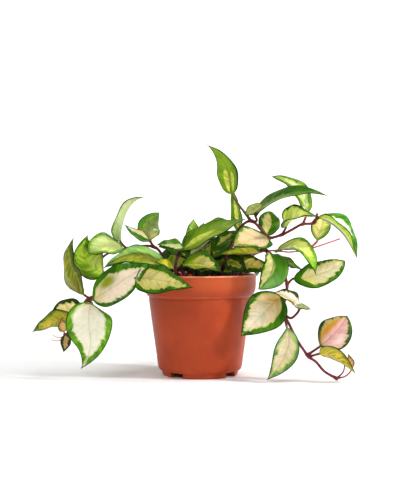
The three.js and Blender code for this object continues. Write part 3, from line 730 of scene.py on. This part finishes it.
upperRightVine = {
    "stem": "purple",
    "radius": 1.7,
    "path": ((22, 13, 86), (22, 13, 101), (26, 11, 118), (33, 8, 137), (41, 5, 154), (54, 0, 163),
        (68, -8, 149), (72, -10, 145), (85, -14, 148), (95, -18, 153), (106, -20, 159), (119, -20, 161),
        (122, -20, 170)),
    "leaves": (
        leaf((54, 0, 163), (34, 0, 191), (6, -10, 243), (9, 3, 1),  # tallest
            26, (-0.55, -0.75, 0.2), 12, "e8e668", "789c20", (15, 15), sway=(1.5, 0, 1), lead=0.75,
            tail=1.45, stalk="685430", calm=1.5, patchy=0.3, patches=((24, -34, 32, 26, -15),
            (22, 38, 32, 20, -14)), washes=((35, 98, 50, 16, "24500e", 120),
            (60, 10, 34, 50, "98b83a", 60), (10, 0, 50, 6, "5c7812", 80))),
        leaf((30, 9, 129), (42, 18, 150), (33, 13, 200), (3, 1, 0),  # narrow upright
            22, (-0.88, -0.5, 0), 14, "fcfa84", "72aa0c", (9, 9), wave=0.5, calm=1.4,
            patches=((50, -20, 50, 26, -8),)),
        leaf((55, -1, 162), (58, -5, 171), (131, -34, 188), (-1, -4, 12),  # dark green arching
            31, (0, -0.46, 0.88), 8, "578014", "2c6006", (14, 14), lead=0.5, via=((60, -4, 163),),
            wave=0.5, patchy=0.6, washes=((6, 0, 12, 100, "888c46", 80), (45, -30, 40, 30, "245206", 60),
            (35, 85, 40, 25, "92ae38", 70), (75, 20, 20, 40, "609222", 60))),
        leaf((59, -4.5, 168), (67, -8, 179), (48, -4, 169), (-1, 0, 1),  # small olive
            13, (0, -0.75, 0.6), 8, "aab06a", "7c8646", (1, 1), lead=0.8, tail=0.8),
        leaf((107, -20, 159), (112, -12, 171), (76, 4, 210), (8, 2, 7),  # light, with a white streak
            24, (0.35, -0.65, 0.65), 10, "aebc62", "5e8614", (5, 5), tail=1,
            washes=((40, 10, 40, 20, "e2e8ce", 80),)),
        leaf((86, -14, 148), (90, -21, 157), (121, -33, 167), (-5, -2, 4),  # folded yellow-green
            36, (0, -0.55, 0.83), 32, "e6f06c", "285a0e", (3, 4), lead=0.5, tail=1.3,
            washes=((90, 0, 20, 100, "82924c", 80), (8, 60, 16, 60, "386214", 70),
            (45, -20, 30, 35, "e8eeaa", 60))),
        leaf((118, -20, 161), (124, -24, 166), (162, -30, 124), (3, -3, 6),  # arching, at the right
            34, (0.4, -0.35, 0.85), 38, "fcfaec", "3e781a", (6, 5),
            washes=((50, 80, 90, 50, "c4e038", 110), (50, 14, 90, 9, "285c10", 120),
            (55, -95, 60, 20, "469222", 80))),
        leaf((72, -10, 145), (72, -15, 144), (33, -48, 136), (-1, -4, 3),  # cream, in the middle
            37, (0.1, -0.68, 0.72), 8, "d0b88e", "3c6e10", (6, 3.5), patches=((45, -70, 20, 30, -3),),
            washes=((85, 0, 20, 100, "ceb670", 50),)),
        leaf((72, -10, 145), (72, -4, 147), (77, 14, 173), (-1, 1, 1),  # cream and dark
            24, (0.2, -0.8, 0.5), 10, "f0e69e", "54841e", (4.5, 9), tail=0.8),
    ),
}
growVine("upperRightVine", "vine_upper_right", upperRightVine, 7)

trailingRightVine = {
    "stem": "802e3e",
    "radius": 1.75,
    "path": ((34, -8, 86), (34, -8, 101), (37, -10, 114), (44, -14, 124), (57, -20, 130), (68, -26, 132),
        (80, -28, 120), (90, -28, 97), (87, -31, 81), (86, -36, 68), (92, -42, 55), (97, -46, 44),
        (104, -50, 33), (110, -52, 25), (117, -54, 20), (125, -57, 11), (138, -60, 3.6)),
    "leaves": (
        leaf((67, -26, 132), (62, -31, 130.6), (20, -38, 128.6), (-1, 0, 1),  # yellow, seen from below
            24, (0, 0.48, 0.88), 10, "cec83c", "6e8a16", (3.5, 3.5), wave=0.5,
            washes=((50, 85, 90, 25, "3c5c10", 80),)),
        leaf((69, -26, 132), (71, -34, 129), (59, -52, 93), (8, -4, 2),  # round and glossy; its first wash is a painted sheen towards the tip
            35, (0.55, -0.8, 0.25), 32, "bab678", "407308", (18, 3), curl=-14, lead=0.8, tail=0.9,
            patchy=0.4, patches=((35, 25, 50, 20, -12),), washes=((85, -45, 24, 50, "88b86e", 60),
            (45, -97, 50, 12, "7cb046", 50), (30, -15, 30, 20, "366e0a", 60))),
        leaf((69, -26, 131), (76, -30, 126), (107, -22, 111), (1, 1, 0),  # green, on edge
            21, (0.25, -0.4, 0.9), 8, "90a624", "44780e", (7, 7)),
        leaf((90, -28, 97), (97, -26, 103), (151, -20, 121), (0, -3, -5),  # cream, at the right
            29, (0, -0.88, 0.48), 8, "d9cd9c", "3e740a", (3, 3.8), lead=0.65, tail=0.75,
            patches=((8, 0, 20, 100, 4), (38, -75, 18, 30, 3)), washes=((100, 0, 5, 100, "603824", 70),),
            clouds=((28, 20, 20, 50, "c4be5a", 70), (70, 10, 26, 50, "e2dcbe", 70))),
        leaf((87, -31, 81), (83, -38, 86), (41, -54, 46), (0, -3, 0),  # broad cream, beside the pot
            42, (0.1, -0.9, 0.4), 8, "cebe92", "3a6e0a", (7, 4), patches=((25, -80, 16, 30, 2.5),
            (95, 0, 10, 100, -4), (60, 80, 12, 30, 2.5)), clouds=((12, 10, 22, 60, "ba9836", 80),
            (62, 10, 30, 55, "ece2ca", 90))),
        leaf((86, -36, 67), (101, -46, 73), (74, -54, 90), (0, -2, 2),  # deep pink
            24.9, (0.3, -0.55, 0.78), 28, "f0d4d4", "32420c", (1.5, 2.5), via=((93, -40, 63),),
            washes=((50, 0, 70, 20, "c4b834", 120), (50, 30, 60, 6, "4c3818", 60))),
        leaf((94, -47, 78), (98, -48, 76.5), (112, -52, 73), (0, 0, 0),  # grey-green tip
            8, (0, -0.6, 0.8), 10, "9eac84", "748c58", (1, 1)),
        leaf((86, -36, 67), (88, -48, 55), (67, -66, 3.5), (9, -1, 1),  # pinkish, hangs
            25, (0.15, -0.9, 0.35), 8, "cabc9a", "7ea45c", (4.5, 2), lead=1.1,
            washes=((30, -95, 40, 15, "2c5414", 80),), clouds=((50, 60, 30, 30, "d6d2b2", 50),
            (75, -50, 12, 30, "c4c46e", 60))),
        leaf((109, -52, 27), (121, -56, 36), (149, -48, 66), (2, -2, -1),  # pink, at the end
            34, (-0.1, -0.95, 0.3), 8, "d6a8a4", "425c1e", (3.5, 4), tail=0.9,
            patches=((75, -90, 20, 20, -4), (30, 80, 15, 30, -3)),
            washes=((50, -52, 42, 20, "ba8822", 160), (40, -95, 40, 20, "243c10", 80)),
            clouds=((40, 50, 20, 20, "f0d6d2", 80),)),
        leaf((110, -52, 25), (120, -60, 29), (155, -66, 10), (-1, 0, 7),  # yellow, at the end
            27, (0.3, 0.5, 0.8), 8, "ccb036", "8a8626", (2, 2.5), lead=0.6, wave=0.2,
            washes=((30, 40, 30, 40, "dec450", 60),)),
        leaf((137, -59.8, 4), (147, -47, 18), (144, -46, 30), (0, 0, 0),  # young shoot
            7, (0.3, -0.9, 0.2), 10, "f6b48c", "de9268", (1, 1), via=((145, -52, 10),)),
        leaf((137, -59.8, 4), (155, -46, 13), (151, -45, 27), (0, 0, 0),  # young shoot
            7, (-0.3, -0.9, 0.2), 10, "f6b48c", "de9268", (1, 1), via=((148, -53, 6),)),
    ),
}
growVine("trailingRightVine", "vine_trailing_right", trailingRightVine, 8)

thinRightVine = {
    "stem": "pink",
    "radius": 1.1,
    "path": ((40, 5, 86), (40, 5, 101), (43, 2, 114), (54, -4, 125), (68, -8, 131), (84, -10, 131),
        (94, -12, 130), (116, -16, 134), (146, -18, 144)),
    "leaves": (
        leaf((80, -9.5, 131), (80, -21, 131), (118, -46, 107), (5, -3, 15),  # yellow-green arching
            30, (0.4, -0.6, 0.7), 12, "cad26c", "649e1a", (4.5, 5),
            washes=((12, 20, 12, 40, "dca07c", 50), (50, 0, 30, 30, "e2e496", 50))),
        leaf((115, -16, 134), (123, -14, 142), (133, -5, 171), (-1, -1, 0),  # upright yellow-green
            21, (-0.1, -0.9, 0.3), 14, "dce086", "6e9824", (2, 2.5), lead=0.9, tail=1,
            washes=((30, -30, 30, 40, "f8dea0", 60),)),
    ),
}
growVine("thinRightVine", "vine_thin_right", thinRightVine, 9)

backLeftVine = {
    "stem": "purple",
    "radius": 1.7,
    "path": ((-16, 27, 86), (-16, 27, 101), (-18, 32, 110), (-26, 46, 118), (-36, 62, 112), (-44, 76, 94),
        (-44, 84, 68)),
    "leaves": (
        leaf((-27, 48, 117.5), (-26, 52, 122), (4, 92, 128), (0, 0, 8),  # cream, at the back
            34, (0.2, 0.1, 0.95), 12, "butter", "green", (6, 5)),
        leaf((-37, 64, 110), (-42, 64, 112), (-34, 112, 118), (-4, 0, 10),  # green, at the back
            32, (-0.2, 0, 0.95), 12, "lime", "green", (8, 6)),
        leaf((-43, 78, 88), (-36, 84, 90), (-4, 92, 46), (4, 6, 0),  # cream, hangs at the back
            32, (0.3, 0.9, 0.3), 10, "cream", "green", (6, 7)),
        leaf((-44, 83, 71), (-42, 88, 66), (-30, 94, 16), (0, 6, 0),  # lowest, at the back
            30, (-0.1, 0.97, 0.2), 10, "blush", "deepGreen", (5, 6)),
    ),
}
growVine("backLeftVine", "vine_back_left", backLeftVine, 10)

backRightVine = {
    "stem": "purple",
    "radius": 1.7,
    "path": ((20, 31, 86), (20, 31, 101), (23, 38, 111), (29, 49, 116), (36, 62, 112), (40, 76, 98)),
    "leaves": (
        leaf((28, 48, 115.5), (24, 54, 120), (14, 96, 118), (4, 4, 10),  # cream, at the back
            32, (0.1, 0.2, 0.95), 12, "cream", "green", (5, 6)),
        leaf((36, 62, 112), (44, 62, 110), (66, 92, 100), (2, 0, 8),  # green, at the back
            34, (0.3, 0.1, 0.95), 12, "paleLime", "deepGreen", (7, 6)),
        leaf((40, 75, 99), (40, 82, 92), (26, 100, 44), (2, 6, 0),  # cream, hangs at the back
            36, (0, 0.95, 0.3), 10, "butter", "green", (7, 5)),
        leaf((21, 34, 105), (8, 34, 112), (60, 22, 117), (0, -2, 0),  # dark leaf among the stems, its deep colours partly painted shade
            34, (0, -0.88, 0.45), 8, "5c6824", "203610", (9, 9)),
        leaf((20, 32, 104), (14, 26, 111), (-18, 21, 109), (0, 1, 2),  # dark, behind the rim, its deep colours partly painted shade
            26, (0, -0.9, 0.4), 8, "4c541c", "18280c", (9, 9)),
    ),
}
growVine("backRightVine", "vine_back_right", backRightVine, 11)


def lathe(name, profile, sides):  # a closed solid turned about the upright axis
    bm = bmesh.new()
    rings = []
    for radius, height in profile:
        angles = [2 * math.pi * k / sides for k in range(sides if radius > 1e-6 else 1)]
        spots = [(radius * math.cos(a) * mm, radius * math.sin(a) * mm, height * mm) for a in angles]
        rings.append([bm.verts.new(spot) for spot in spots])
    for low, high in zip(rings, rings[1:]):
        for k in range(sides):
            n = (k + 1) % sides
            corners = [low[k % len(low)], low[n % len(low)], high[n % len(high)], high[k % len(high)]]
            bm.faces.new(list(dict.fromkeys(corners)))
    bmesh.ops.recalc_face_normals(bm, faces=bm.faces)
    mesh = bpy.data.meshes.new(name)
    bm.to_mesh(mesh)
    bm.free()
    return addObject(name, mesh)


def cutAway(target, cutters):
    for cutter in cutters:
        modifier = target.modifiers.new("cut", "BOOLEAN")
        modifier.operation = "DIFFERENCE"
        modifier.solver = "EXACT"
        modifier.object = cutter
    bpy.context.view_layer.update()
    evaluated = target.evaluated_get(bpy.context.evaluated_depsgraph_get())
    cut = bpy.data.meshes.new_from_object(evaluated)
    target.modifiers.clear()
    target.data = cut
    for cutter in cutters:
        bpy.data.objects.remove(cutter)


def smoothBelow(mesh, degrees):  # sharper edges stay crisp
    bm = bmesh.new()
    bm.from_mesh(mesh)
    for face in bm.faces:
        face.smooth = True
    for edge in bm.edges:
        if len(edge.link_faces) == 2:
            edge.smooth = edge.calc_face_angle() < math.radians(degrees)
    bm.to_mesh(mesh)
    bm.free()


def rounded(corners, steps=4):  # (radius, height, fillet) corners as a profile with arcs
    profile = []
    for i, (radius, height, fillet) in enumerate(corners):
        here = Vector((radius, height))
        if not fillet:
            profile.append(tuple(here))
            continue
        before, after = Vector(corners[i - 1][:2]), Vector(corners[i + 1][:2])
        start = here + (before - here).normalized() * fillet
        stop = here + (after - here).normalized() * fillet
        for k in range(steps + 1):
            u = k / steps
            profile.append(tuple(start.lerp(here, u).lerp(here.lerp(stop, u), u)))
    return profile


print("pot")
pot = {
    "rimRadius": 60,
    "rimHeight": 106.6,
    "bandBottom": 82.6,
    "wallTopRadius": 54.4,
    "wallBottomRadius": 44.6,
    "footRadius": 40,
    "footHeight": 5,
    "wallThickness": 2,
    "rimThickness": 2.4,
    "floorTop": 6.2,
    "padRadius": 12,
    "notchCount": 4,  # each has a drain hole behind it
    "firstNotch": -37,  # degrees
    "notchSize": (16, 15.6, 10),
    "drainRadius": 3.2,
    "drainDepth": 20,
    "drainMiddle": 4,  # height
    "drainCircle": 27,
    "markPlace": (-4, -52.2, 66),  # a faint round mark from the mould
    "markRadius": 2.2,
    "sides": 160,
    "sharpAngle": 32,
}


def makePotShade():
    shade = Shade("mouldedTerracottaPlastic", IOR=1.46, Specular_IOR_Level=0.22)
    place = shade.node("TexCoord", {}, {}, "Object")
    cloud = shade.speckle(place, 28.0, 4.0, 0.6)
    grain = shade.speckle(place, 900.0, 2.0)
    stretched = shade.node("Mapping", {}, {"Vector": place, "Scale": (60.0, 60.0, 6.0)})
    streak = shade.speckle(stretched, 3.0, 3.0, 0.6)
    colour = shade.blend(cloud.rise(0.3, 0.75), tone("a63e17"), tone("973412"))
    colour = shade.blend(streak.rise(0.55, 0.75) * 0.3, colour, tone("a24421"))
    height = shade.node("SeparateXYZ", {}, {0: place}, 2)
    rim, band = pot["rimHeight"] * mm, pot["bandBottom"] * mm
    colour = shade.blend(height.rise(band + 2.4 * mm, rim - 6.6 * mm) * 0.5, colour, tone("be582c"))
    # painted highlight lines along the lip and just above the band's lower edge, broken up by noise
    highlightNoise = shade.speckle(stretched, 1.5, 2.0).rise(0.3, 0.6)
    lipHighlight = height.rise(rim - 1.8 * mm, rim - mm) * (0.35 + highlightNoise * 0.5)
    ledgeHighlight = height.rise(band + 0.8 * mm, band + 1.6 * mm)
    ledgeHighlight = ledgeHighlight * (1 - height.rise(band + 2.2 * mm, band + 3.2 * mm)) * highlightNoise * 0.15
    colour = shade.blend(lipHighlight + ledgeHighlight, colour, tone("e89676"))  # painted highlights along the lip and the band's lower edge
    dust = shade.speckle(place, 240.0, 3.0, 0.7).rise(0.66, 0.76)
    colour = shade.blend(dust * 0.25, colour, tone("ce8c6e"))
    centre = tuple(value * mm for value in pot["markPlace"])
    away = shade.node("VectorMath", {"operation": "DISTANCE"}, {0: place, 1: centre}, 1)
    radius = pot["markRadius"] * mm
    mark = away.rise(radius * 0.55, radius * 0.75) * (1 - away.rise(radius * 0.8, radius))
    shade.bump(grain * 0.3 + streak * 0.7 + cloud * 0.6 + mark * 2, 0.00025, 0.35)
    shade.paint(Base_Color=colour, Roughness=0.33 + cloud * 0.1 + streak * 0.08)
    return shade.material


def makePot():
    top, bottom, foot = pot["wallTopRadius"], pot["wallBottomRadius"], pot["footRadius"]
    rim, height, base = pot["rimRadius"], pot["rimHeight"], pot["footHeight"]
    band, thick = pot["bandBottom"], pot["rimThickness"]
    profile = rounded([
        (0, 0, 0),  # under the pot
        (pot["padRadius"], 0, 0),
        (pot["padRadius"] + 0.6, base - 1, 0.5),
        (foot - 4.4, base - 1, 0.5),
        (foot - 4.2, 0, 0),
        (foot - 0.8, 0, 0),
        (foot, 0.8, 0.3),
        (foot + 0.6, base, 0),
        (foot + 1.9, base + 0.2, 0.4),
        (bottom - 0.9, base + 2, 1),
        (bottom, base + 5, 1.2),  # up the wall
        (top, band - 2, 0.6),
        (top - 0.3, band, 0.3),
        (top + 1.6, band + 1.4, 0.6),
        (top + 3.6, band + 5, 1.5),
        (rim - 0.7, band + 9.6, 2),
        (rim - 0.5, height - 2.8, 0.4),
        (rim, height - 1.9, 0.4),
        (rim, height - 0.7, 0.5),
        (rim - 0.6, height, 0.5),
        (rim - 1.6, height - 0.1, 0.4),  # and down inside
        (rim - 2.1, height - 1.4, 0.5),
        (rim - thick, band + 8.9, 0.5),
        (top - pot["wallThickness"], band - 2.1, 0.5),
        (bottom - thick, pot["floorTop"], 1),
        (0, pot["floorTop"], 0),
    ])
    shell = lathe("pottedShell", profile, pot["sides"])
    cutters = []
    for k in range(pot["notchCount"]):
        turn = math.radians(pot["firstNotch"] + 360 / pot["notchCount"] * k)
        east, north = math.cos(turn) * mm, math.sin(turn) * mm
        bpy.ops.mesh.primitive_cube_add(size=1, location=(foot * east, foot * north, 0))
        notch = bpy.context.object
        notch.scale = [side * mm for side in pot["notchSize"]]
        notch.rotation_euler.z = turn
        circle = pot["drainCircle"]
        bpy.ops.mesh.primitive_cylinder_add(
            vertices=32, radius=pot["drainRadius"] * mm, depth=pot["drainDepth"] * mm,
            location=(circle * east, circle * north, pot["drainMiddle"] * mm))
        cutters += [notch, bpy.context.object]
    cutAway(shell, cutters)
    smoothBelow(shell.data, pot["sharpAngle"])
    shell.data.materials.clear()
    shell.data.materials.append(makePotShade())
    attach(shell, "root")
    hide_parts("pot")


makePot()

print("soil")
soil = {
    "top": 97,
    "gap": 0.45,  # to the pot
    "rise": 2.5,
    "grit": 1.0,  # mm of roughness
    "rings": 44,
    "sides": 144,
    "crumbs": 420,
    "crumbSize": (0.7, 2.6),
    "edgeSpace": 3,  # mm without crumbs
    "bedGrain": 0.3,
    "crumbDent": 0.35,
    "dentScale": 600,
    "seed": 11,
    "sharpAngle": 50,
}


def makeSoilShade():
    shade = Shade("pottingSoil", IOR=1.4)
    place = shade.node("TexCoord", {}, {}, "Object")
    grain = shade.mark("grain")
    clod = shade.speckle(place, 260.0, 4.0, 0.7)
    fibre = shade.node("TexVoronoi", {"feature": "F1"}, {"Vector": place, "Scale": 420.0}, "Distance")
    colour = shade.blend(clod.rise(0.35, 0.7), tone("1e140f"), tone("4a3224"))
    colour = shade.blend(grain.rise(0.55, 0.75), colour, tone("704e34"))  # bark
    colour = shade.blend(grain.rise(0.93, 0.97), colour, tone("cebea8"))  # pale grit
    shade.bump(clod + fibre * 0.6, 0.0012, 0.8)
    shade.paint(Base_Color=colour, Roughness=0.82 + clod * 0.15)
    return shade.material


def soilHeight(x, y):
    lump = math.sin(0.31 * x + 1.3) * math.cos(0.27 * y) + 0.7 * math.sin(0.17 * (x - 2 * y))
    reach = math.hypot(x, y) / pot["rimRadius"]
    height = soil["top"] + 0.6 + soil["rise"] * (1 - reach ** 2) * (0.6 + 0.5 * lump)
    rough = noise.noise(Vector((x, y, 0)) * 0.35) + 0.5 * noise.noise(Vector((x, y, 5)) * 0.9)
    return height + soil["grit"] * rough


def dropCrumb(bm, draw, reach):
    radius = reach * math.sqrt(draw.random())
    angle = draw.uniform(0, 2 * math.pi)
    x, y = radius * math.cos(angle), radius * math.sin(angle)
    size = draw.uniform(*soil["crumbSize"]) * (0.6 + 0.4 * draw.random())
    crumb = bmesh.ops.create_icosphere(bm, subdivisions=1, radius=size * mm)["verts"]
    stretch = Vector((draw.uniform(0.6, 1.5), draw.uniform(0.6, 1.1), draw.uniform(0.35, 0.7)))
    spin = draw.uniform(0, math.pi)
    offset = Vector((draw.uniform(0, 90), 0, 0))
    for vertex in crumb:
        shape = vertex.co * (1 + soil["crumbDent"] * noise.noise(vertex.co * soil["dentScale"] + offset))
        px, py, pz = (shape[i] * stretch[i] for i in range(3))
        vertex.co = Vector((
            x * mm + px * math.cos(spin) - py * math.sin(spin),
            y * mm + px * math.sin(spin) + py * math.cos(spin),
            soilHeight(x, y) * mm + pz + size * 0.1 * mm,
        ))
    return [draw.random()] * len(crumb)


def makeSoil():
    gap, top, band = soil["gap"], soil["top"], pot["bandBottom"]
    floor = pot["floorTop"] + gap
    inside = pot["rimRadius"] - pot["rimThickness"] + 0.05 - gap
    profile = [
        (0, floor),
        (pot["wallBottomRadius"] - pot["rimThickness"] - gap, floor),
        (pot["wallTopRadius"] - pot["wallThickness"] - gap, band - 1.9),
        (pot["rimRadius"] - pot["rimThickness"] - gap, band + 9.1),
        (inside, top - 0.6),
    ]
    profile += [(inside * (1 - k / soil["rings"]), top + 1) for k in range(soil["rings"] + 1)]
    bed = lathe("pottingSoil", profile, soil["sides"])
    bm = bmesh.new()
    bm.from_mesh(bed.data)
    for vertex in bm.verts:
        x, y, z = vertex.co / mm
        if z > top:
            vertex.co.z = soilHeight(x, y) * mm
    draw = random.Random(soil["seed"])
    grains = [soil["bedGrain"]] * len(bm.verts)
    for _ in range(soil["crumbs"]):
        grains += dropCrumb(bm, draw, inside - soil["edgeSpace"])
    bm.to_mesh(bed.data)
    bm.free()
    bed.data.attributes.new("grain", "FLOAT", "POINT").data.foreach_set("value", grains)
    smoothBelow(bed.data, soil["sharpAngle"])
    bed.data.materials.append(makeSoilShade())
    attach(bed, "root")
    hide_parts("soil")


makeSoil()

print("studio")
studio = {
    "flatRadius": 1800,  # mm, and then the floor turns up
    "dishRadius": 3000,
    "dishHeight": 2200,
    "dishSteps": 12,
    "sides": 96,
    "floorTop": -0.05,
    "worldStrength": 0.32,
    "lights": (
        # name, place, aim, size, watts
        ("keyLight", (1.8, -0.55, 1.1), (0, 0, 0.1), 0.24, 33),
        ("fillLight", (-0.8, -1.5, 1.2), (0, 0, 0.12), 0.8, 8),
        ("topLight", (0.6, -0.1, 1.8), (0, 0, 0.12), 1.2, 18),
        ("backdropLight", (0, 1.1, 1.4), (0, 2.9, 0.9), 1.2, 26),
    ),
}


def makeFloor():
    flat, low, steps = studio["flatRadius"], studio["floorTop"], studio["dishSteps"]
    profile = [(0, low), (flat, low)]
    for k in range(1, steps + 1):
        angle = math.pi / 2 * k / steps
        radius = flat + (studio["dishRadius"] - flat) * math.sin(angle)
        profile.append((radius, studio["dishHeight"] * (1 - math.cos(angle)) + low))
    dish = lathe("studioFloor", profile, studio["sides"])
    for face in dish.data.polygons:
        face.use_smooth = True
    shade = Shade("paleFloor")
    speckle = shade.speckle(shade.node("TexCoord", {}, {}, "Object"), 40.0, 3.0)
    colour = shade.blend(speckle, tone("fafafa"), tone("fcfcfc"))
    shade.paint(Base_Color=colour, Roughness=0.7 + speckle * 0.1)
    dish.data.materials.append(shade.material)


def lightStudio():
    for name, place, aim, size, watts in studio["lights"]:
        data = bpy.data.lights.new(name, "AREA")
        data.energy = watts
        data.shape = "DISK"
        data.size = size
        lookAt(addObject(name, data), place, aim)
    world = bpy.data.worlds.new("studioWorld")
    world.use_nodes = True
    sky = world.node_tree.nodes["Background"].inputs
    sky["Color"].default_value = (1, 1, 1, 1)
    sky["Strength"].default_value = studio["worldStrength"]
    bpy.context.scene.world = world


makeFloor()
lightStudio()
